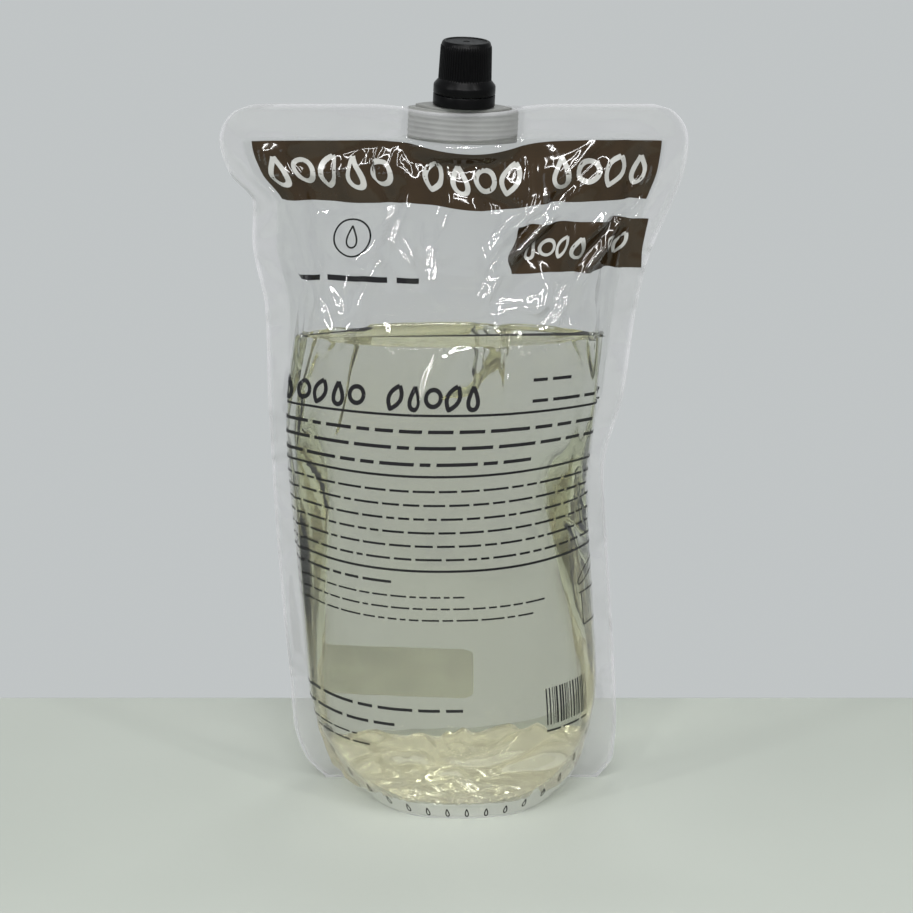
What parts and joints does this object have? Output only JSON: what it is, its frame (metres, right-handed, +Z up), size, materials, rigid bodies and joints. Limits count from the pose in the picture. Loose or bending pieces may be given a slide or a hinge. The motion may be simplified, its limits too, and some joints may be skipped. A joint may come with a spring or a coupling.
{
  "type": "soap refill pouch",
  "caption": "Clear stand-up refill pouch full of liquid soap, with a bottom gusset, welded edges and a black screw cap on a spout in the top seal.",
  "frame": {"origin": "on the surface the pouch stands on, under the middle of its bounding box", "axes": "+Z up, the front panel faces -Y, +X to the right of somebody who looks at the front"},
  "size_m": [0.171, 0.084, 0.2905],
  "materials": {
    "clear_film": "glossy clear laminate film",
    "soap_liquid": "clear pale yellow-green liquid",
    "label_film": "matt sticker",
    "natural_plastic": "unpigmented translucent polyethylene",
    "black_plastic": "satin black moulding"
  },
  "bodies": {
    "pouch": {"front_film": "clear_film", "back_film": "clear_film", "gusset_film": "clear_film", "soap": "soap_liquid", "batch_label": "label_film", "spout": "natural_plastic"},
    "tamper_ring": {"tamper_band": "black_plastic"},
    "screw_cap": {"cap": "black_plastic"}
  },
  "joints": [
    {"name": "cap_turn", "type": "hinge", "parent": "pouch", "child": "tamper_ring", "pos_m": [0.003, -0.00024, 0.2535], "axis": [0.0436, 0, 0.999], "range_deg": [0, 900]},
    {"name": "cap_lift", "type": "slide", "parent": "tamper_ring", "child": "screw_cap", "axis": [0.0436, 0, 0.999], "range_m": [0, 0.0251]}
  ],
  "couplings": [
    {"joint": "cap_lift", "follows": "cap_turn", "m_per_rad": 0.0015915}
  ]
}
